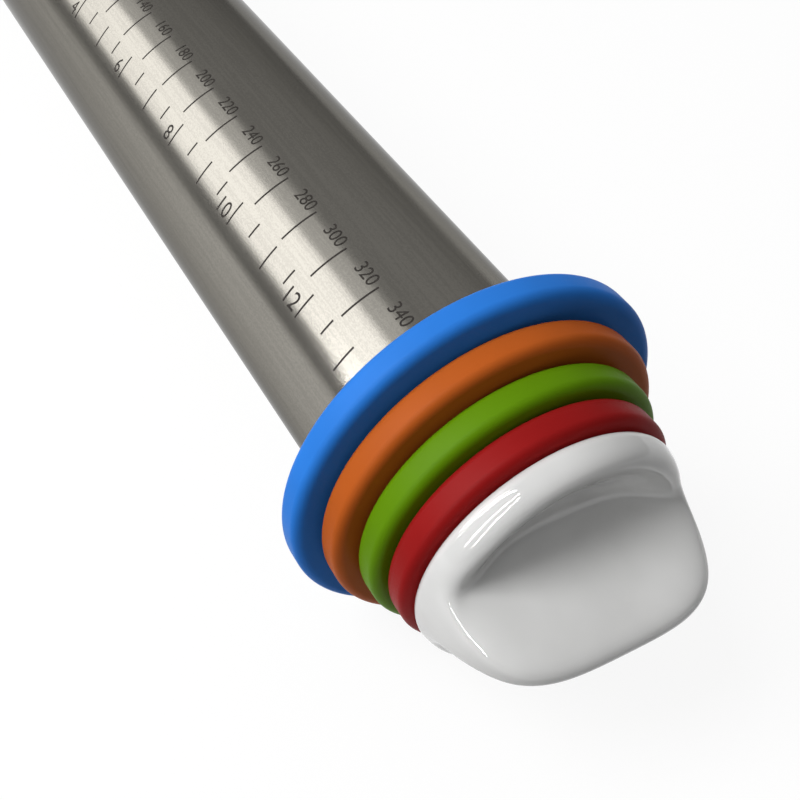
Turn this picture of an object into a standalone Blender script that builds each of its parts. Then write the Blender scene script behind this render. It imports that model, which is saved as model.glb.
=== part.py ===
"""Adjustable rolling pin: a steel tube, two sets of thickness rings and two screw-in finger knobs.

Metres, +Z up. The pin lies along X and stands on the lowest facets of its two largest rings.
The origin is under the middle of the pin, on the surface that it stands on.
Each end is built outward along the local +Z of an empty that sits in the tube's cut end.
"""

import math

import bmesh
import bpy
from mathutils import Matrix

# Gaps that moulded and turned pieces keep where they touch
SEAT_GAP = 0.0003
FIT_GAP = 0.0003

# Steel tube
TUBE_RADIUS = 0.02165
TUBE_WALL = 0.0009
TUBE_LENGTH = 0.3476
TUBE_SIDES = 64

# Thickness rings, from the tube outward: how far each one lifts the tube off the table
RING_LIFTS = {"blue": 0.0100, "orange": 0.0062, "green": 0.0030, "red": 0.0012}
RING_THICKNESS = 0.0050
RING_LAND_WIDTH = 0.0016
RING_EDGE_DEPTH = 0.0020
RING_EDGE_STEPS = 2
RING_SIDES = 48

# Knob shank: a smooth collar inside the rings, then the screw
COLLAR_RADIUS = 0.0095
SCREW_RADIUS = 0.0090
SCREW_LENGTH = 0.0180
SCREW_TIP_CHAMFER = 0.0012
SHANK_ROOT = 0.0012
SHANK_SIDES = 48

# End plug in the tube
PLUG_FLANGE = 0.0015
PLUG_FLOOR = 0.0016
PLUG_SKIRT_WALL = 0.0020
PLUG_SOCKET_WALL = 0.0022
PLUG_RIB = 0.0018
PLUG_POCKET_ROOF = 0.0025
PLUG_RIBS = 6
SOCKET_END_ROOM = 0.0020
POCKET_ARC_STEPS = 6
CUT_OVERRUN = 0.0010

# Finger knob: a round base with a fin across it and a scoop on each side of the fin
KNOB_OVERSIZE = 0.00005
KNOB_RADIUS = TUBE_RADIUS + KNOB_OVERSIZE
KNOB_BASE_ROUND = 0.0016
KNOB_RIM_HEIGHT = 0.0054
KNOB_RIM_WIDTH = 0.0024
KNOB_SCOOP_FLOOR = 0.0006
KNOB_SCOOP_WALL = 0.0090
KNOB_FIN_HEIGHT = 0.0206
KNOB_FIN_LENGTH = 0.0408
KNOB_FIN_HALF_WIDTH = 0.0042
KNOB_FIN_WIDENING_SHARE = 0.1
KNOB_BLEND = 0.0034
KNOB_TURN_DEG = {"right": 88.0, "left": 88.0}
# Squareness of the fin seen from its side (2 is an ellipse), and how steep its flanks are
KNOB_FIN_SQUARENESS = 3.5
KNOB_FIN_STEEPNESS = 4.2
# The knob's skin: cells across the top, rows up the wall, and how far the cells crowd the fin
KNOB_CELLS = 24
KNOB_WALL_ROWS = 5
KNOB_CROWDING = 1.3

# Sharp edges stay sharp when a turned piece is shaded smooth
SHARP_ANGLE_DEG = 35.0
MERGE_DISTANCE = 0.000001

# Colours, roughness and metallic value of each moulding or metal
FINISHES = {
    "brushed_steel": ((0.56, 0.54, 0.51, 1.0), 0.30, 1.0),
    "plug_grey": ((0.30, 0.30, 0.31, 1.0), 0.50, 0.0),
    "ring_blue": ((0.05, 0.20, 0.62, 1.0), 0.45, 0.0),
    "ring_orange": ((0.62, 0.16, 0.04, 1.0), 0.45, 0.0),
    "ring_green": ((0.14, 0.36, 0.01, 1.0), 0.45, 0.0),
    "ring_red": ((0.38, 0.02, 0.02, 1.0), 0.45, 0.0),
    "knob_white": ((0.80, 0.80, 0.78, 1.0), 0.22, 0.0),
}

# Sizes that follow from the ones above
RING_PITCH = RING_THICKNESS + SEAT_GAP
FLANGE_FACE = SEAT_GAP + PLUG_FLANGE
FIRST_RING = FLANGE_FACE + SEAT_GAP
KNOB_SEAT = FIRST_RING + len(RING_LIFTS) * RING_PITCH
SOCKET_DEPTH = SCREW_LENGTH + SOCKET_END_ROOM
AXIS_HEIGHT = (TUBE_RADIUS + max(RING_LIFTS.values())) * math.cos(math.pi / RING_SIDES)
SIDES = {"right": 1, "left": -1}


def clear_scene():
    """Take every object out of the scene."""
    for old in list(bpy.data.objects):
        bpy.data.objects.remove(old, do_unlink=True)


def finish(name):
    """The Principled material of one moulding colour or metal."""
    material = bpy.data.materials.get(name)
    if material is None:
        colour, roughness, metallic = FINISHES[name]
        material = bpy.data.materials.new(name)
        material.use_nodes = True
        shader = material.node_tree.nodes["Principled BSDF"]
        shader.inputs["Base Color"].default_value = colour
        shader.inputs["Roughness"].default_value = roughness
        shader.inputs["Metallic"].default_value = metallic
        material.diffuse_color = colour
    return material


def new_object(name, bm, material_name, parent, offset):
    """Turn a bmesh into an object that sits at an offset along its parent's +Z."""
    bmesh.ops.recalc_face_normals(bm, faces=bm.faces)
    mesh = bpy.data.meshes.new(name)
    bm.to_mesh(mesh)
    bm.free()
    mesh.shade_smooth()
    mesh.set_sharp_from_angle(angle=math.radians(SHARP_ANGLE_DEG))
    mesh.materials.append(finish(material_name))
    piece = bpy.data.objects.new(name, mesh)
    bpy.context.scene.collection.objects.link(piece)
    piece.parent = parent
    piece.location = (0.0, 0.0, offset)
    return piece


def hide_tool(piece):
    """Mark a piece that only cuts or joins others."""
    piece.hide_render = True
    piece.display_type = "WIRE"


def add_boolean(piece, tool, operation):
    """Join a tool to a piece, or cut it out, with the exact solver."""
    modifier = piece.modifiers.new(operation.lower(), "BOOLEAN")
    modifier.operation = operation
    modifier.solver = "EXACT"
    modifier.object = tool


def turned(profile, sides, closed):
    """Spin a profile of (radius, height) points about Z, with a flat side square to each of X and Y."""
    bm = bmesh.new()
    half_step = math.pi / sides
    points = [bm.verts.new((r * math.cos(half_step), r * math.sin(half_step), z)) for r, z in profile]
    edges = [bm.edges.new(pair) for pair in zip(points, points[1:])]
    if closed:
        edges.append(bm.edges.new((points[-1], points[0])))
    bmesh.ops.spin(bm, geom=points + edges, cent=(0, 0, 0), axis=(0, 0, 1), angle=2 * math.pi, steps=sides)
    bmesh.ops.remove_doubles(bm, verts=bm.verts, dist=MERGE_DISTANCE)
    return bm


def end_frame(side):
    """An empty in the tube's cut end, with its +Z pointing out of the tube."""
    empty = bpy.data.objects.new("tube_end_" + side, None)
    bpy.context.scene.collection.objects.link(empty)
    turn = Matrix.Rotation(math.radians(90.0) * SIDES[side], 4, "Y")
    place = Matrix.Translation((SIDES[side] * TUBE_LENGTH / 2, 0.0, AXIS_HEIGHT))
    empty.matrix_world = place @ turn
    return empty


def rolling_tube():
    """The plain steel tube, cut square at both ends."""
    axis = bpy.data.objects.new("pin_axis", None)
    bpy.context.scene.collection.objects.link(axis)
    turn = Matrix.Rotation(math.radians(90.0), 4, "Y")
    axis.matrix_world = Matrix.Translation((0.0, 0.0, AXIS_HEIGHT)) @ turn
    bore = TUBE_RADIUS - TUBE_WALL
    half = TUBE_LENGTH / 2
    profile = [(TUBE_RADIUS, -half), (TUBE_RADIUS, half), (bore, half), (bore, -half)]
    new_object("rolling_tube", turned(profile, TUBE_SIDES, True), "brushed_steel", axis, 0.0)


def pocket_cutter(side, parent, inner, outer, depth):
    """Wedges that leave ribs between the plug's socket and its skirt."""
    bm = bmesh.new()
    for index in range(PLUG_RIBS):
        middle = 2 * math.pi * index / PLUG_RIBS
        section = []
        for radius, direction in ((outer, 1), (inner, -1)):
            half_span = math.pi / PLUG_RIBS - math.asin(PLUG_RIB / 2 / radius)
            for step in range(POCKET_ARC_STEPS + 1):
                angle = middle + direction * half_span * (2 * step / POCKET_ARC_STEPS - 1)
                section.append(bm.verts.new((radius * math.cos(angle), radius * math.sin(angle), -depth)))
        face = bm.faces.new(section)
        top = bmesh.ops.extrude_face_region(bm, geom=[face])["geom"]
        lift = depth - PLUG_POCKET_ROOF
        bmesh.ops.translate(bm, vec=(0, 0, lift), verts=[v for v in top if isinstance(v, bmesh.types.BMVert)])
    cutter = new_object("pocket_cutter_" + side, bm, "plug_grey", parent, 0.0)
    hide_tool(cutter)
    return cutter


def end_plug(side, parent):
    """A ribbed plug with a flange on the tube's cut end and a blind socket for the knob's screw."""
    skirt = TUBE_RADIUS - TUBE_WALL - FIT_GAP
    socket = SCREW_RADIUS + FIT_GAP
    depth = SOCKET_DEPTH + PLUG_FLOOR
    profile = [
        (0.0, -depth),
        (skirt, -depth),
        (skirt, SEAT_GAP),
        (TUBE_RADIUS, SEAT_GAP),
        (TUBE_RADIUS, FLANGE_FACE),
        (socket, FLANGE_FACE),
        (socket, FLANGE_FACE - SOCKET_DEPTH),
        (0.0, FLANGE_FACE - SOCKET_DEPTH),
    ]
    plug = new_object("end_plug_" + side, turned(profile, TUBE_SIDES, False), "plug_grey", parent, 0.0)
    wall = socket + PLUG_SOCKET_WALL
    cutter = pocket_cutter(side, parent, wall, skirt - PLUG_SKIRT_WALL, depth + CUT_OVERRUN)
    add_boolean(plug, cutter, "DIFFERENCE")


def thickness_ring(colour, lift, side, parent, offset):
    """One ring: a bore that fits the collar, flat faces and a rounded rim with a narrow land."""
    radius = TUBE_RADIUS + lift
    bore = COLLAR_RADIUS + FIT_GAP
    half = RING_THICKNESS / 2
    land = RING_LAND_WIDTH / 2
    quarter = []
    for step in range(RING_EDGE_STEPS + 1):
        angle = math.pi / 2 * step / RING_EDGE_STEPS
        depth = RING_EDGE_DEPTH * (1 - math.cos(angle))
        quarter.append((radius - depth, land + (half - land) * math.sin(angle)))
    rim = [(r, -z) for r, z in reversed(quarter)] + quarter
    profile = [(bore, half), (bore, -half)] + rim
    name = "ring_" + colour
    new_object(name + "_" + side, turned(profile, RING_SIDES, True), name, parent, offset + half)


def smooth_max(first, second, width):
    """The higher of two heights, with the corner between them filled over a width."""
    share = max(width - abs(first - second), 0.0) / width
    return max(first, second) + share * share * width / 4


def fin_top(along):
    """Height of the fin's crest at a place along it: a rounded-off rectangle in side view."""
    reach = min(abs(along) / (KNOB_FIN_LENGTH / 2), 1.0)
    return KNOB_FIN_HEIGHT * (1 - reach ** KNOB_FIN_SQUARENESS) ** (1 / KNOB_FIN_SQUARENESS)


def knob_top(along, across):
    """Height of the knob's top at a place on it: the fin between two scoops, inside a raised rim."""
    half_width = KNOB_FIN_HALF_WIDTH * (1 + KNOB_FIN_WIDENING_SHARE * (2 * along / KNOB_FIN_LENGTH) ** 2)
    flank = 1 / (1 + (abs(across) / half_width) ** KNOB_FIN_STEEPNESS)
    fin = KNOB_SCOOP_FLOOR + (fin_top(along) - KNOB_SCOOP_FLOOR) * flank
    inside = KNOB_RADIUS - KNOB_RIM_WIDTH - math.hypot(along, across)
    climb = min(max(1 - inside / KNOB_SCOOP_WALL, 0.0), 1.0)
    climb = climb * climb * (3 - 2 * climb)
    rim = KNOB_SCOOP_FLOOR + (KNOB_RIM_HEIGHT - KNOB_SCOOP_FLOOR) * climb
    return smooth_max(fin, rim, KNOB_BLEND)


def crowded(index):
    """A place from -1 to 1 for one line of cells, crowded towards the fin."""
    even = 2 * index / KNOB_CELLS - 1
    return math.copysign(abs(even) ** KNOB_CROWDING, even)


def knob_wall_point(along, across, row):
    """A point on the wall below an edge point of the knob's top, on one row up from the base's widest circle."""
    edge = math.hypot(along, across)
    climb = knob_top(along, across) - KNOB_BASE_ROUND
    rim_climb = KNOB_RIM_HEIGHT - KNOB_BASE_ROUND
    fin_climb = max(fin_top(along) - KNOB_BASE_ROUND, climb)
    on_fin = min(max((climb - rim_climb) / max(fin_climb - rim_climb, MERGE_DISTANCE), 0.0), 1.0)
    angle = math.pi / 2 * row / KNOB_WALL_ROWS
    rim_out = KNOB_RIM_WIDTH * math.cos(angle)
    fin_up = math.sin(angle) ** (2 / KNOB_FIN_SQUARENESS)
    up = math.sin(angle) + (fin_up - math.sin(angle)) * on_fin
    reach = (KNOB_BASE_ROUND + fin_up * fin_climb) / KNOB_FIN_HEIGHT
    fin_out = KNOB_FIN_LENGTH / 2 * (1 - reach ** KNOB_FIN_SQUARENESS) ** (1 / KNOB_FIN_SQUARENESS) - edge
    fin_out += (KNOB_RADIUS - KNOB_FIN_LENGTH / 2) * (1 - fin_up)
    scale = 1 + (rim_out + (fin_out - rim_out) * on_fin) / edge
    return along * scale, across * scale, KNOB_BASE_ROUND + climb * up


def knob_skin():
    """The knob's closed skin, with its local X along the fin and its seat at zero height."""
    bm = bmesh.new()
    inner = KNOB_RADIUS - KNOB_RIM_WIDTH
    top = []
    for i in range(KNOB_CELLS + 1):
        u = 2 * i / KNOB_CELLS - 1
        line = []
        for j in range(KNOB_CELLS + 1):
            v = crowded(j)
            x = inner * u * math.sqrt(1 - v * v / 2)
            y = inner * v * math.sqrt(1 - u * u / 2)
            line.append(bm.verts.new((x, y, knob_top(x, y))))
        top.append(line)
    for i in range(KNOB_CELLS):
        for j in range(KNOB_CELLS):
            bm.faces.new((top[i][j], top[i + 1][j], top[i + 1][j + 1], top[i][j + 1]))
    last = KNOB_CELLS
    rim = [top[i][0] for i in range(last)] + [top[last][j] for j in range(last)]
    rim += [top[i][last] for i in range(last, 0, -1)] + [top[0][j] for j in range(last, 0, -1)]
    above = rim
    for row in reversed(range(KNOB_WALL_ROWS)):
        below = [bm.verts.new(knob_wall_point(v.co.x, v.co.y, row)) for v in rim]
        for index in range(len(rim)):
            after = (index + 1) % len(rim)
            bm.faces.new((above[index], below[index], below[after], above[after]))
        above = below
    seat = 1 - KNOB_BASE_ROUND / KNOB_RADIUS
    below = [bm.verts.new((v.co.x * seat, v.co.y * seat, 0.0)) for v in above]
    for index in range(len(rim)):
        after = (index + 1) % len(rim)
        bm.faces.new((above[index], below[index], below[after], above[after]))
    bm.faces.new(below)
    return bm


def knob_shank(side, parent):
    """The collar and screw below the knob's seat, as a turned piece that is joined to the knob."""
    collar_end = FLANGE_FACE + SEAT_GAP - KNOB_SEAT
    tip = collar_end - SEAT_GAP - SCREW_LENGTH
    profile = [
        (0.0, SHANK_ROOT),
        (COLLAR_RADIUS, SHANK_ROOT),
        (COLLAR_RADIUS, collar_end),
        (SCREW_RADIUS, collar_end),
        (SCREW_RADIUS, tip + SCREW_TIP_CHAMFER),
        (SCREW_RADIUS - SCREW_TIP_CHAMFER, tip),
        (0.0, tip),
    ]
    bm = turned(profile, SHANK_SIDES, False)
    shank = new_object("knob_shank_" + side, bm, "knob_white", parent, KNOB_SEAT)
    hide_tool(shank)
    return shank


def finger_knob(side, parent):
    """The knob with its shank, turned so that its fin lies at the knob's rest angle."""
    knob = new_object("knob_" + side, knob_skin(), "knob_white", parent, KNOB_SEAT)
    upright = math.radians(180.0) if side == "right" else 0.0
    knob.rotation_euler = (0.0, 0.0, upright + SIDES[side] * math.radians(KNOB_TURN_DEG[side]))
    add_boolean(knob, knob_shank(side, parent), "UNION")


def main():
    clear_scene()
    rolling_tube()
    for side in SIDES:
        parent = end_frame(side)
        end_plug(side, parent)
        offset = FIRST_RING
        for colour, lift in RING_LIFTS.items():
            thickness_ring(colour, lift, side, parent, offset)
            offset += RING_PITCH
        finger_knob(side, parent)
    bpy.context.view_layer.update()


main()
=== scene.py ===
"""Looks of the adjustable rolling pin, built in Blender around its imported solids.

Metres, in the solids' own frame: +X along the pin towards the end in view, +Z up, -Y the side of the scale.
The shapes repeat the sizes of the solids and add finer curves, the screw threads and the printed scale.
"""

import math

import bmesh
import bpy
from mathutils import Matrix, Vector


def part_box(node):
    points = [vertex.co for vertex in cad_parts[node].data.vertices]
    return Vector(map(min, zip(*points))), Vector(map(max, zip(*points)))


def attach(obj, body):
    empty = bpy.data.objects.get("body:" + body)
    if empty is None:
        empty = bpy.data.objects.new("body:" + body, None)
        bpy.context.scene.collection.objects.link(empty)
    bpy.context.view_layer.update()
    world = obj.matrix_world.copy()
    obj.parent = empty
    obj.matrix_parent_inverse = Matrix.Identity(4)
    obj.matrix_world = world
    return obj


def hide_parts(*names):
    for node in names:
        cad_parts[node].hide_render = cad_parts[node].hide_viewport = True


# Sizes that repeat the solids
SEAT_GAP = 0.0003
FIT_GAP = 0.0003
TUBE_WALL = 0.0009
PLUG_FLANGE = 0.0015
RING_COLOURS = ("blue", "orange", "green", "red")
COLLAR_RADIUS = 0.0095
SCREW_RADIUS = 0.0090
SCREW_LENGTH = 0.0180
SCREW_TIP_CHAMFER = 0.0012
KNOB_RADIUS = 0.0217
KNOB_BASE_ROUND = 0.0016
KNOB_RIM_HEIGHT = 0.0054
KNOB_RIM_WIDTH = 0.0024
KNOB_SCOOP_FLOOR = 0.0006
KNOB_SCOOP_WALL = 0.0090
KNOB_FIN_HEIGHT = 0.0206
KNOB_FIN_LENGTH = 0.0408
KNOB_FIN_HALF_WIDTH = 0.0042
KNOB_FIN_WIDENING_SHARE = 0.1
KNOB_BLEND = 0.0034
KNOB_FIN_SQUARENESS = 3.5
KNOB_FIN_STEEPNESS = 4.2
KNOB_CROWDING = 1.3
KNOB_TURN = math.radians(88.0)

# Finer parts of the shapes
SHARP_ANGLE = math.radians(35.0)
KNOB_SHARP_ANGLE = math.radians(50.0)
TUBE_SIDES = 256
TUBE_EDGE = 0.00015
RING_SIDES = 192
RING_LAND_WIDTH = 0.0022
RING_EDGE_DEPTH = 0.0017
RING_EDGE_STEPS = 10
RING_BORE_EDGE = 0.0003
COLLAR_EDGE = 0.0003
KNOB_CELLS = 72
KNOB_WALL_ROWS = 14
KNOB_BASE_ROWS = 5
KNOB_LEAST_CLIMB = 0.000001
KNOB_SMOOTHING = 20
KNOB_SMOOTHING_SHARE = 0.5
THREAD_PITCH = 0.0040
THREAD_DEPTH = 0.0012
THREAD_ROW = 0.00032
THREAD_RUN_OUT = 0.0016
THREAD_FULLNESS = 0.7

# Printed scale: places are millimetres from the pin's middle, angles are degrees from the top towards -Y.
# It counts the dough's whole width, so half of each number lies on either side of the middle.
MILLIMETRE = 0.001
INCH = 25.4
MARK_LIFT = 0.000015
MARK_WIDTH = 0.00036
TICK_STEPS = 8
MM_OFFSET = -0.67
MM_LABEL_STEP = 20
MM_LABEL_LAST = 340
MM_TICK_TOP = 16.59
MM_TICK_BOTTOM = 34.9
MM_DIGIT_HEIGHT = 0.0023
INCH_LAST = 13
INCH_TICK_TOP = 38.4
INCH_LONG_BOTTOM = 50.7
INCH_SHORT_BOTTOM = 45.9
INCH_LABELS = (2, 4, 6, 8, 10, 12)
INCH_LABEL_DROP = 2.0
INCH_DIGIT_HEIGHT = 0.0029
DIGIT_CURVE_STEPS = 6
DIGIT_CUTS = 10
LABEL_GAP = 0.0011

# Finishes: patterns are counted per metre along each axis, and use the middle of their range
PATTERN_RANGE = (0.3, 0.7)
STEEL_COLOUR = (0.30, 0.286, 0.256)
STEEL_SHADES = (0.94, 1.06)
STEEL_ROUGHNESS = (0.15, 0.20)
STEEL_RELIEF = 0.000002
STEEL_LINES = (40.0, 1500.0, 1500.0)
STEEL_LINES_DETAIL = 4.0
STEEL_LINES_ROUGHNESS = 0.6
STEEL_GRAIN = (2200.0, 4200.0, 4200.0)
STEEL_GRAIN_DETAIL = 2.0
STEEL_SUM_RANGE = (0.7, 1.3)
STEEL_CLOUD = (14.0, 60.0, 60.0)
STEEL_ANISOTROPY = 0.35
STEEL_EDGE_TINT = (0.42, 0.42, 0.42, 1.0)
MOULD_CLOUD = (90.0, 90.0, 90.0)
MOULD_GRAIN = (2600.0, 2600.0, 2600.0)
MOULD_DETAIL = 2.0
MOULD_SHADES = (0.95, 1.04)
MOULD_ROUGHNESS_SHARES = (0.9, 1.1)
INK_COLOUR = (0.030, 0.026, 0.023)
INK_ROUGHNESS = 0.60
INK_ROUGHNESS_RANGE = (0.52, 0.68)
INK_WEAR = (1400.0, 1400.0, 1400.0)
INK_SHADES = (0.8, 1.5)
INK_GLOSS = 0.1

# Mouldings: colour, roughness, depth of the grain in metres, gloss
MOULDINGS = {
    "plug_grey": ((0.30, 0.30, 0.31), 0.50, 0.00002, 0.3),
    "ring_blue": ((0.030, 0.225, 0.78), 0.45, 0.000006, 0.05),
    "ring_orange": ((0.54, 0.115, 0.016), 0.45, 0.000006, 0.05),
    "ring_green": ((0.125, 0.28, 0.003), 0.45, 0.000006, 0.05),
    "ring_red": ((0.32, 0.010, 0.010), 0.45, 0.000006, 0.05),
    "knob_white": ((0.78, 0.78, 0.77), 0.05, 0.000002, 0.5),
}

# Camera: its place, the direction behind it, lens and sensor in millimetres
CAMERA_PLACE = (0.25889976, -0.06520675, 0.15296184)
CAMERA_BACK = (0.54142115, -0.28811154, 0.78984485)
CAMERA_LENS = 46.346
CAMERA_SENSOR = 36.0
CAMERA_SHIFT = (0.07212, 0.11246)
CAMERA_NEAR = 0.01

# Floor
FLOOR_HALF_SIZE = 6.0
FLOOR_DROP = 0.0002
FLOOR_COLOUR = (0.12, 0.12, 0.12, 1.0)
FLOOR_GLOW = 0.90

# Light, in metres, watts and radiance
WORLD_LEVEL = 0.16
WORLD_LEAST = 0.07
WORLD_SLOPE = (-0.14, 0.10, 0.16)
WORLD_COLOUR = (1.0, 1.0, 1.0, 1.0)
SOFTBOX_PLACE = -1.05
SOFTBOX_DISTANCE = 0.70
PANE_DIRECTION = (0.02, -0.72, 0.69)
PANE_DISTANCE = 0.8
PANE_PLACES = (-0.44, -0.18, 0.06, 0.28)
PANE_SIZE = (0.016, 0.80)
PANE_POWER = 2.8

# Long softboxes over the tube: degrees from the top towards -Y, size, power
SOFTBOXES = {
    "softbox": (48.5, (2.1, 0.56), 9.6),
    "shoulder": (17.5, (2.1, 0.26), 1.2),
}

# Lamps that light the plastics: place, size, power
PLASTIC_LAMPS = {
    "key": ((-0.08, -0.74, 0.98), (0.55, 0.80), 11.6),
    "fill": ((0.50, -1.10, 0.12), (0.40, 0.50), 4.0),
}

SIDES = {"right": 1, "left": -1}

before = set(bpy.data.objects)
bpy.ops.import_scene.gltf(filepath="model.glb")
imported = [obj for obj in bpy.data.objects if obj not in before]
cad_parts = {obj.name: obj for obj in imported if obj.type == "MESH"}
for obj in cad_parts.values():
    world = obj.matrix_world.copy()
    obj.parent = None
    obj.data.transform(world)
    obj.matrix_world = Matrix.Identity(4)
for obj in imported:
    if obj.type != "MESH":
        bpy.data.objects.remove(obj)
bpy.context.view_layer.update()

TUBE_LOW, TUBE_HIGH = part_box("rolling_tube")
TUBE_RADIUS = (TUBE_HIGH.y - TUBE_LOW.y) / 2
TUBE_LENGTH = TUBE_HIGH.x - TUBE_LOW.x
AXIS_HEIGHT = (TUBE_HIGH.z + TUBE_LOW.z) / 2
KNOB_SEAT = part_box("ring_red_right")[1].x + SEAT_GAP - TUBE_HIGH.x
FLANGE_FACE = SEAT_GAP + PLUG_FLANGE


def set_input(node, name, value):
    """Set one input of a node by its name."""
    node.inputs[name].default_value = value


def new_material(name, colour, roughness, metallic=0.0):
    """A material with a Principled shader, returned with its node tree and that shader."""
    material = bpy.data.materials.new(name)
    material.use_nodes = True
    shader = material.node_tree.nodes["Principled BSDF"]
    set_input(shader, "Base Color", (*colour, 1.0))
    set_input(shader, "Roughness", roughness)
    set_input(shader, "Metallic", metallic)
    return material, material.node_tree, shader


def noise(tree, per_metre, detail=3.0, roughness=0.5):
    """A noise pattern in the object's own metres, with its own count along each axis."""
    place = tree.nodes.new("ShaderNodeTexCoord")
    mapping = tree.nodes.new("ShaderNodeMapping")
    set_input(mapping, "Scale", per_metre)
    pattern = tree.nodes.new("ShaderNodeTexNoise")
    set_input(pattern, "Scale", 1.0)
    set_input(pattern, "Detail", detail)
    set_input(pattern, "Roughness", roughness)
    tree.links.new(place.outputs["Object"], mapping.inputs["Vector"])
    tree.links.new(mapping.outputs["Vector"], pattern.inputs["Vector"])
    return pattern.outputs["Fac"]


def combine(tree, operation, value, other, clamp=False):
    """Combine a node's value with another node's value or with a number."""
    node = tree.nodes.new("ShaderNodeMath")
    node.operation = operation
    node.use_clamp = clamp
    tree.links.new(value, node.inputs[0])
    if isinstance(other, float):
        node.inputs[1].default_value = other
    else:
        tree.links.new(other, node.inputs[1])
    return node.outputs["Value"]


def spread(tree, value, to_range, from_range=PATTERN_RANGE):
    """Bring a pattern's values from one range into another."""
    node = tree.nodes.new("ShaderNodeMapRange")
    for name, limit in zip(("From Min", "From Max", "To Min", "To Max"), (*from_range, *to_range)):
        set_input(node, name, limit)
    tree.links.new(value, node.inputs["Value"])
    return node.outputs["Result"]


def shades(tree, value, colour, shares):
    """A colour that a pattern makes darker and lighter."""
    ramp = tree.nodes.new("ShaderNodeValToRGB")
    for element, position, share in zip(ramp.color_ramp.elements, PATTERN_RANGE, shares):
        element.position = position
        element.color = (*[c * share for c in colour], 1.0)
    tree.links.new(value, ramp.inputs["Fac"])
    return ramp.outputs["Color"]


def relief(tree, shader, value, depth):
    """Raise a surface by a pattern."""
    bump = tree.nodes.new("ShaderNodeBump")
    set_input(bump, "Strength", 1.0)
    set_input(bump, "Distance", depth)
    tree.links.new(value, bump.inputs["Height"])
    tree.links.new(bump.outputs["Normal"], shader.inputs["Normal"])


def brushed_steel():
    """Satin stainless steel with fine lines along the tube."""
    material, tree, shader = new_material("brushed_steel", STEEL_COLOUR, max(STEEL_ROUGHNESS), 1.0)
    lines = noise(tree, STEEL_LINES, STEEL_LINES_DETAIL, STEEL_LINES_ROUGHNESS)
    grain = noise(tree, STEEL_GRAIN, STEEL_GRAIN_DETAIL)
    pattern = spread(tree, combine(tree, "ADD", lines, grain), (0.0, 1.0), STEEL_SUM_RANGE)
    tree.links.new(shades(tree, pattern, STEEL_COLOUR, STEEL_SHADES), shader.inputs["Base Color"])
    tree.links.new(spread(tree, noise(tree, STEEL_CLOUD), STEEL_ROUGHNESS), shader.inputs["Roughness"])
    relief(tree, shader, pattern, STEEL_RELIEF)
    set_input(shader, "Anisotropic", STEEL_ANISOTROPY)
    set_input(shader, "Specular Tint", STEEL_EDGE_TINT)
    tangent = tree.nodes.new("ShaderNodeTangent")
    tangent.direction_type = "RADIAL"
    tangent.axis = "X"
    tree.links.new(tangent.outputs["Tangent"], shader.inputs["Tangent"])
    return material


def moulded(name, colour, roughness, grain, gloss):
    """Moulded plastic with a slight cloud in its colour and a fine grain."""
    material, tree, shader = new_material(name, colour, roughness)
    cloud = noise(tree, MOULD_CLOUD, MOULD_DETAIL)
    tree.links.new(shades(tree, cloud, colour, MOULD_SHADES), shader.inputs["Base Color"])
    fine = noise(tree, MOULD_GRAIN, MOULD_DETAIL)
    levels = [roughness * share for share in MOULD_ROUGHNESS_SHARES]
    tree.links.new(spread(tree, fine, levels), shader.inputs["Roughness"])
    relief(tree, shader, fine, grain)
    set_input(shader, "Specular IOR Level", gloss)
    return material


def ink():
    """Dark marks of the scale, worn thin in places."""
    material, tree, shader = new_material("scale_ink", INK_COLOUR, INK_ROUGHNESS)
    wear = noise(tree, INK_WEAR)
    tree.links.new(shades(tree, wear, INK_COLOUR, INK_SHADES), shader.inputs["Base Color"])
    tree.links.new(spread(tree, wear, INK_ROUGHNESS_RANGE), shader.inputs["Roughness"])
    set_input(shader, "Specular IOR Level", INK_GLOSS)
    return material


MATERIALS = {"brushed_steel": brushed_steel()}
MATERIALS.update({name: moulded(name, *values) for name, values in MOULDINGS.items()})
MATERIALS["scale_ink"] = ink()


def end_matrix(side, offset):
    """The frame at a distance out from the tube's cut end, with its +Z pointing out of the tube."""
    turn = Matrix.Rotation(math.radians(90.0) * SIDES[side], 4, "Y")
    place = Matrix.Translation((SIDES[side] * TUBE_LENGTH / 2, 0.0, AXIS_HEIGHT))
    return place @ turn @ Matrix.Translation((0.0, 0.0, offset))


def new_object(name, data):
    """An object in the scene."""
    made = bpy.data.objects.new(name, data)
    bpy.context.scene.collection.objects.link(made)
    return made


def add_piece(name, bm, material, matrix, body, node=None, sharp_angle=SHARP_ANGLE):
    """Make an object from a bmesh, in place, and let it ride on a body."""
    bmesh.ops.recalc_face_normals(bm, faces=bm.faces)
    mesh = bpy.data.meshes.new(name)
    bm.to_mesh(mesh)
    bm.free()
    mesh.shade_smooth()
    mesh.set_sharp_from_angle(angle=sharp_angle)
    mesh.materials.append(MATERIALS[material])
    piece = new_object(name, mesh)
    piece.matrix_world = matrix
    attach(piece, body)
    if node:
        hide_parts(node)


def band(bm, above, below):
    """A band of faces between two rings of vertices."""
    for index in range(len(above)):
        after = (index + 1) % len(above)
        bm.faces.new((above[index], below[index], below[after], above[after]))


def turned(profile, sides):
    """A closed profile of (radius, height) points, spun about Z."""
    bm = bmesh.new()
    turns = [2 * math.pi / sides * index for index in range(sides)]
    loops = []
    for radius, height in profile:
        loops.append([bm.verts.new((radius * math.cos(a), radius * math.sin(a), height)) for a in turns])
    for first, second in zip(loops, loops[1:] + loops[:1]):
        band(bm, first, second)
    return bm


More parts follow.
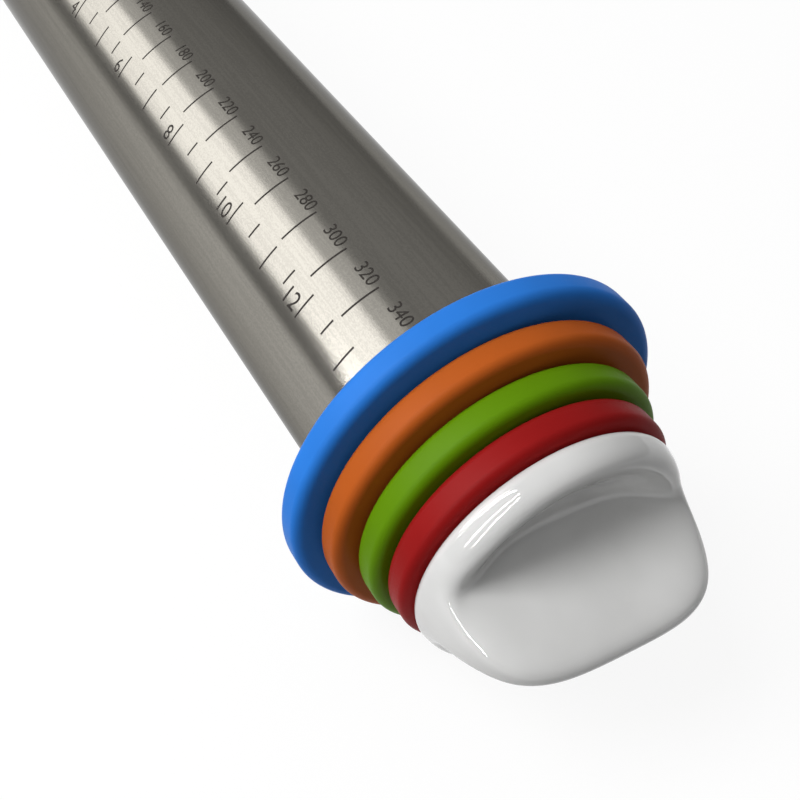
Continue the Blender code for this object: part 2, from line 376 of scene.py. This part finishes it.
def rolling_tube():
    """The steel tube with its edges broken."""
    half = TUBE_LENGTH / 2
    bore = TUBE_RADIUS - TUBE_WALL
    profile = [
        (TUBE_RADIUS - TUBE_EDGE, -half),
        (TUBE_RADIUS, -half + TUBE_EDGE),
        (TUBE_RADIUS, half - TUBE_EDGE),
        (TUBE_RADIUS - TUBE_EDGE, half),
        (bore, half),
        (bore, -half),
    ]
    bm = turned(profile, TUBE_SIDES)
    bm.transform(Matrix.Rotation(math.radians(90.0), 4, "Y"))
    place = Matrix.Translation((0.0, 0.0, AXIS_HEIGHT))
    add_piece("steel_tube", bm, "brushed_steel", place, "pin", "rolling_tube")


def thickness_ring(colour, side):
    """One ring with a rounded rim and a bore that fits the shank's collar."""
    slot = "ring_" + colour
    body = colour + "_" + side
    node = slot + "_" + side
    low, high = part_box(node)
    radius = (high.y - low.y) / 2
    half = (high.x - low.x) / 2
    bore = COLLAR_RADIUS + FIT_GAP
    land = RING_LAND_WIDTH / 2
    quarter = []
    for step in range(RING_EDGE_STEPS + 1):
        angle = math.pi / 2 * step / RING_EDGE_STEPS
        depth = RING_EDGE_DEPTH * (1 - math.cos(angle))
        quarter.append((radius - depth, land + (half - land) * math.sin(angle)))
    rim = [(r, -z) for r, z in reversed(quarter)] + quarter
    edge = RING_BORE_EDGE
    inside = [(bore + edge, half), (bore, half - edge), (bore, edge - half), (bore + edge, -half)]
    place = end_matrix(side, abs(low.x + high.x) / 2 - TUBE_LENGTH / 2)
    add_piece(colour + "_ring_" + side, turned(inside + rim, RING_SIDES), slot, place, body, node)


def smooth_max(first, second, width):
    """The higher of two heights, with the corner between them filled over a width."""
    share = max(width - abs(first - second), 0.0) / width
    return max(first, second) + share * share * width / 4


def fin_top(along):
    """Height of the fin's crest at a place along it: a rounded-off rectangle in side view."""
    reach = min(abs(along) / (KNOB_FIN_LENGTH / 2), 1.0)
    return KNOB_FIN_HEIGHT * (1 - reach ** KNOB_FIN_SQUARENESS) ** (1 / KNOB_FIN_SQUARENESS)


def knob_top(along, across):
    """Height of the knob's top at a place on it: the fin between two scoops, inside a raised rim."""
    half_width = KNOB_FIN_HALF_WIDTH * (1 + KNOB_FIN_WIDENING_SHARE * (2 * along / KNOB_FIN_LENGTH) ** 2)
    flank = 1 / (1 + (abs(across) / half_width) ** KNOB_FIN_STEEPNESS)
    fin = KNOB_SCOOP_FLOOR + (fin_top(along) - KNOB_SCOOP_FLOOR) * flank
    inside = KNOB_RADIUS - KNOB_RIM_WIDTH - math.hypot(along, across)
    climb = min(max(1 - inside / KNOB_SCOOP_WALL, 0.0), 1.0)
    climb = climb * climb * (3 - 2 * climb)
    rim = KNOB_SCOOP_FLOOR + (KNOB_RIM_HEIGHT - KNOB_SCOOP_FLOOR) * climb
    return smooth_max(fin, rim, KNOB_BLEND)


def crowded(index):
    """A place from -1 to 1 for one line of cells, crowded towards the fin."""
    even = 2 * index / KNOB_CELLS - 1
    return math.copysign(abs(even) ** KNOB_CROWDING, even)


def knob_wall_point(along, across, row):
    """A point on the wall below an edge point of the knob's top, on one row up from the widest circle."""
    edge = math.hypot(along, across)
    climb = knob_top(along, across) - KNOB_BASE_ROUND
    rim_climb = KNOB_RIM_HEIGHT - KNOB_BASE_ROUND
    fin_climb = max(fin_top(along) - KNOB_BASE_ROUND, climb)
    on_fin = min(max((climb - rim_climb) / max(fin_climb - rim_climb, KNOB_LEAST_CLIMB), 0.0), 1.0)
    angle = math.pi / 2 * row / KNOB_WALL_ROWS
    rim_out = KNOB_RIM_WIDTH * math.cos(angle)
    fin_up = math.sin(angle) ** (2 / KNOB_FIN_SQUARENESS)
    up = math.sin(angle) + (fin_up - math.sin(angle)) * on_fin
    reach = (KNOB_BASE_ROUND + fin_up * fin_climb) / KNOB_FIN_HEIGHT
    fin_out = KNOB_FIN_LENGTH / 2 * (1 - reach ** KNOB_FIN_SQUARENESS) ** (1 / KNOB_FIN_SQUARENESS) - edge
    fin_out += (KNOB_RADIUS - KNOB_FIN_LENGTH / 2) * (1 - fin_up)
    scale = 1 + (rim_out + (fin_out - rim_out) * on_fin) / edge
    return along * scale, across * scale, KNOB_BASE_ROUND + climb * up


def thread_radius(height, angle, top, tip):
    """Radius of the screw at a place on it: a rounded right-hand ridge round a core."""
    phase = (height / THREAD_PITCH - angle / (2 * math.pi)) % 1.0
    ridge = (0.5 + 0.5 * math.cos(2 * math.pi * phase)) ** THREAD_FULLNESS
    fade = min((top - height) / THREAD_RUN_OUT, (height - tip) / THREAD_RUN_OUT, 1.0)
    return SCREW_RADIUS - THREAD_DEPTH * (1 - ridge * max(fade, 0.0))


def base_loops(widest):
    """Rings of points round the knob's lower edge, from its widest circle down to its seat."""
    loops = []
    for row in range(1, KNOB_BASE_ROWS + 1):
        angle = math.pi / 2 * row / KNOB_BASE_ROWS
        scale = 1 - KNOB_BASE_ROUND / KNOB_RADIUS * (1 - math.cos(angle))
        height = KNOB_BASE_ROUND * (1 - math.sin(angle))
        loops.append([(x * scale, y * scale, height) for x, y, z in widest])
    return loops


def shank_loops(directions):
    """Rings of points from the knob's seat down its collar and threaded screw, along given directions."""
    collar_end = FLANGE_FACE + SEAT_GAP - KNOB_SEAT
    tip = collar_end - SEAT_GAP - SCREW_LENGTH
    collar = [
        (COLLAR_RADIUS, 0.0),
        (COLLAR_RADIUS, collar_end + COLLAR_EDGE),
        (COLLAR_RADIUS - COLLAR_EDGE, collar_end),
    ]
    loops = [[(x * radius, y * radius, height) for x, y in directions] for radius, height in collar]
    rows = round((collar_end - tip) / THREAD_ROW)
    for row in range(1, rows + 1):
        height = collar_end + (tip - collar_end) * row / rows
        chamfer = max(tip + SCREW_TIP_CHAMFER - height, 0.0)
        loop = []
        for x, y in directions:
            thread = thread_radius(height, math.atan2(y, x), collar_end, tip)
            radius = min(thread, SCREW_RADIUS - chamfer)
            loop.append((x * radius, y * radius, height))
        loops.append(loop)
    return loops


def top_grid(bm):
    """The knob's top as a round grid of cells, returned as the ring of vertices at its edge."""
    inner = KNOB_RADIUS - KNOB_RIM_WIDTH
    top = []
    for i in range(KNOB_CELLS + 1):
        u = 2 * i / KNOB_CELLS - 1
        line = []
        for j in range(KNOB_CELLS + 1):
            v = crowded(j)
            x = inner * u * math.sqrt(1 - v * v / 2)
            y = inner * v * math.sqrt(1 - u * u / 2)
            line.append(bm.verts.new((x, y, knob_top(x, y))))
        top.append(line)
    for i in range(KNOB_CELLS):
        for j in range(KNOB_CELLS):
            bm.faces.new((top[i][j], top[i + 1][j], top[i + 1][j + 1], top[i][j + 1]))
    last = KNOB_CELLS
    edge = [top[i][0] for i in range(last)] + [top[last][j] for j in range(last)]
    edge += [top[i][last] for i in range(last, 0, -1)] + [top[0][j] for j in range(last, 0, -1)]
    return edge


def knob_skin():
    """The knob and its threaded shank as one closed skin, with its local X along the fin."""
    bm = bmesh.new()
    above = top_grid(bm)
    places = [(v.co.x, v.co.y) for v in above]
    loops = [[knob_wall_point(x, y, row) for x, y in places] for row in reversed(range(KNOB_WALL_ROWS))]
    widest = loops[-1]
    directions = [(x / math.hypot(x, y), y / math.hypot(x, y)) for x, y, z in widest]
    for loop in loops + base_loops(widest) + shank_loops(directions):
        below = [bm.verts.new(point) for point in loop]
        band(bm, above, below)
        above = below
    bm.faces.new(above)
    upper = [v for v in bm.verts if v.co.z > KNOB_BASE_ROUND]
    axes = {"use_axis_x": True, "use_axis_y": True, "use_axis_z": True}
    for _ in range(KNOB_SMOOTHING):
        bmesh.ops.smooth_vert(bm, verts=upper, factor=KNOB_SMOOTHING_SHARE, **axes)
    return bm


def finger_knob(side):
    """The knob at its place, with its fin at the rest angle."""
    upright = math.radians(180.0) if side == "right" else 0.0
    turn = Matrix.Rotation(upright + SIDES[side] * KNOB_TURN, 4, "Z")
    place = end_matrix(side, KNOB_SEAT) @ turn
    node = "knob_" + side
    add_piece("finger_knob_" + side, knob_skin(), "knob_white", place, node, node, KNOB_SHARP_ANGLE)


def on_tube(along, around):
    """The point just above the tube's skin at a place along it and an angle from its top towards -Y."""
    radius = TUBE_RADIUS + MARK_LIFT
    return (along, -radius * math.sin(around), radius * math.cos(around))


def add_tick(bm, along, first_deg, last_deg):
    """One line of the scale, wrapped round the tube."""
    sides = []
    for offset in (-MARK_WIDTH / 2, MARK_WIDTH / 2):
        line = []
        for step in range(TICK_STEPS + 1):
            around = math.radians(first_deg + (last_deg - first_deg) * step / TICK_STEPS)
            line.append(bm.verts.new(on_tube(along + offset, around)))
        sides.append(line)
    for step in range(TICK_STEPS):
        bm.faces.new((sides[0][step], sides[0][step + 1], sides[1][step + 1], sides[1][step]))


def add_label(bm, text, along, around_deg, direction, digit_height):
    """A number of the scale, wrapped round the tube, on the inner side of the line at a place along it."""
    curve = bpy.data.curves.new("label", "FONT")
    curve.body = text
    curve.align_x = "RIGHT" if direction > 0 else "LEFT"
    curve.resolution_u = DIGIT_CURVE_STEPS
    writing = new_object("label", curve)
    bpy.context.view_layer.update()
    flat = writing.evaluated_get(bpy.context.evaluated_depsgraph_get()).to_mesh()
    tall = max(v.co.y for v in flat.vertices)
    low = min(v.co.y for v in flat.vertices)
    size = digit_height / (tall - low)
    sheet = bmesh.new()
    sheet.from_mesh(flat)
    for cut in range(1, DIGIT_CUTS):
        level = (0.0, low + (tall - low) * cut / DIGIT_CUTS, 0.0)
        pieces = sheet.verts[:] + sheet.edges[:] + sheet.faces[:]
        bmesh.ops.bisect_plane(sheet, geom=pieces, plane_co=level, plane_no=(0.0, 1.0, 0.0))
    beside = along - direction * LABEL_GAP
    verts = {}
    for v in sheet.verts:
        up = (v.co.y - low) * size - digit_height / 2
        around = math.radians(around_deg) - up / TUBE_RADIUS
        verts[v] = bm.verts.new(on_tube(beside + v.co.x * size, around))
    for face in sheet.faces:
        bm.faces.new([verts[v] for v in face.verts])
    sheet.free()
    bpy.data.objects.remove(writing, do_unlink=True)


def printed_scale():
    """Both scales, counted from the pin's middle to each end."""
    millimetres = bmesh.new()
    inches = bmesh.new()
    inch_label_place = (INCH_TICK_TOP + INCH_LONG_BOTTOM) / 2 + INCH_LABEL_DROP
    for direction in (1, -1):
        for label in range(MM_LABEL_STEP, MM_LABEL_LAST + 1, MM_LABEL_STEP):
            along = direction * (label / 2 + MM_OFFSET) * MILLIMETRE
            add_tick(millimetres, along, MM_TICK_TOP, MM_TICK_BOTTOM)
            add_label(millimetres, str(label), along, MM_TICK_TOP, direction, MM_DIGIT_HEIGHT)
        for half_inch in range(1, 2 * INCH_LAST + 1):
            along = direction * half_inch / 2 * INCH / 2 * MILLIMETRE
            whole = half_inch % 2 == 0
            add_tick(inches, along, INCH_TICK_TOP, INCH_LONG_BOTTOM if whole else INCH_SHORT_BOTTOM)
            if whole and half_inch // 2 in INCH_LABELS:
                add_label(inches, str(half_inch // 2), along, inch_label_place, direction, INCH_DIGIT_HEIGHT)
    place = Matrix.Translation((0.0, 0.0, AXIS_HEIGHT))
    add_piece("scale_millimetres", millimetres, "scale_ink", place, "pin")
    add_piece("scale_inches", inches, "scale_ink", place, "pin")


def aim(holder, direction):
    """Turn a camera or a lamp to face along a direction."""
    holder.rotation_euler = direction.to_track_quat("-Z", "Y").to_euler()


def add_camera():
    """The photograph's viewpoint."""
    camera = bpy.data.cameras.new("camera")
    camera.lens = CAMERA_LENS
    camera.sensor_width = CAMERA_SENSOR
    camera.shift_x, camera.shift_y = CAMERA_SHIFT
    camera.clip_start = CAMERA_NEAR
    holder = new_object("camera", camera)
    holder.location = CAMERA_PLACE
    aim(holder, -Vector(CAMERA_BACK))
    bpy.context.scene.camera = holder


def add_floor():
    """A plain pale floor that shows white, and keeps the pin's shadow."""
    bm = bmesh.new()
    bmesh.ops.create_grid(bm, x_segments=1, y_segments=1, size=FLOOR_HALF_SIZE)
    mesh = bpy.data.meshes.new("floor")
    bm.to_mesh(mesh)
    bm.free()
    floor = new_object("floor", mesh)
    floor.location = (0.0, 0.0, -FLOOR_DROP)
    material = bpy.data.materials.new("floor")
    material.use_nodes = True
    tree = material.node_tree
    tree.nodes.clear()
    output = tree.nodes.new("ShaderNodeOutputMaterial")
    matt = tree.nodes.new("ShaderNodeBsdfDiffuse")
    set_input(matt, "Color", FLOOR_COLOUR)
    glow = tree.nodes.new("ShaderNodeEmission")
    both = tree.nodes.new("ShaderNodeAddShader")
    path = tree.nodes.new("ShaderNodeLightPath").outputs
    seen = combine(tree, "ADD", path["Is Camera Ray"], path["Is Glossy Ray"], True)
    shown = combine(tree, "ADD", seen, path["Is Transmission Ray"], True)
    tree.links.new(combine(tree, "MULTIPLY", shown, FLOOR_GLOW), glow.inputs["Strength"])
    tree.links.new(matt.outputs["BSDF"], both.inputs[0])
    tree.links.new(glow.outputs["Emission"], both.inputs[1])
    tree.links.new(both.outputs["Shader"], output.inputs["Surface"])
    mesh.materials.append(material)


def add_room():
    """A dim room that is lighter towards one upper corner."""
    world = bpy.data.worlds.new("room")
    world.use_nodes = True
    tree = world.node_tree
    direction = tree.nodes.new("ShaderNodeTexCoord")
    slope = tree.nodes.new("ShaderNodeVectorMath")
    slope.operation = "DOT_PRODUCT"
    slope.inputs[1].default_value = WORLD_SLOPE
    tree.links.new(direction.outputs["Generated"], slope.inputs[0])
    level = combine(tree, "ADD", slope.outputs["Value"], WORLD_LEVEL)
    least = combine(tree, "MAXIMUM", level, WORLD_LEAST)
    tree.links.new(least, tree.nodes["Background"].inputs["Strength"])
    set_input(tree.nodes["Background"], "Color", WORLD_COLOUR)
    bpy.context.scene.world = world


def add_lamp(name, location, target, size, power, gloss_only):
    """A soft rectangular lamp that faces a target, and shows either in gloss only or in all but gloss."""
    light = bpy.data.lights.new(name, "AREA")
    light.shape = "RECTANGLE"
    light.size, light.size_y = size
    light.energy = power
    lamp = new_object(name, light)
    lamp.location = location
    aim(lamp, target - Vector(location))
    lamp.visible_camera = False
    lamp.visible_glossy = gloss_only
    lamp.visible_diffuse = not gloss_only


def add_lamps():
    """Softboxes along the tube and window panes for the knob, both in gloss only, then a key and a fill."""
    middle = Vector((SOFTBOX_PLACE, 0.0, AXIS_HEIGHT))
    for name, (angle_deg, size, power) in SOFTBOXES.items():
        angle = math.radians(angle_deg)
        out = Vector((0.0, -math.sin(angle), math.cos(angle)))
        add_lamp(name, middle + out * SOFTBOX_DISTANCE, middle, size, power, True)
    knob = Vector((TUBE_HIGH.x + KNOB_SEAT, 0.0, AXIS_HEIGHT))
    for along in PANE_PLACES:
        spot = knob + Vector(PANE_DIRECTION) * PANE_DISTANCE + Vector((along, 0.0, 0.0))
        add_lamp("pane", spot, knob, PANE_SIZE, PANE_POWER, True)
    for name, (place, size, power) in PLASTIC_LAMPS.items():
        add_lamp(name, place, knob, size, power, False)


rolling_tube()
for side in SIDES:
    for colour in RING_COLOURS:
        thickness_ring(colour, side)
    finger_knob(side)
    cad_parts["end_plug_" + side].data.materials.clear()
    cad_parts["end_plug_" + side].data.materials.append(MATERIALS["plug_grey"])
printed_scale()
add_camera()
add_floor()
add_room()
add_lamps()
bpy.context.scene.view_settings.view_transform = "Standard"
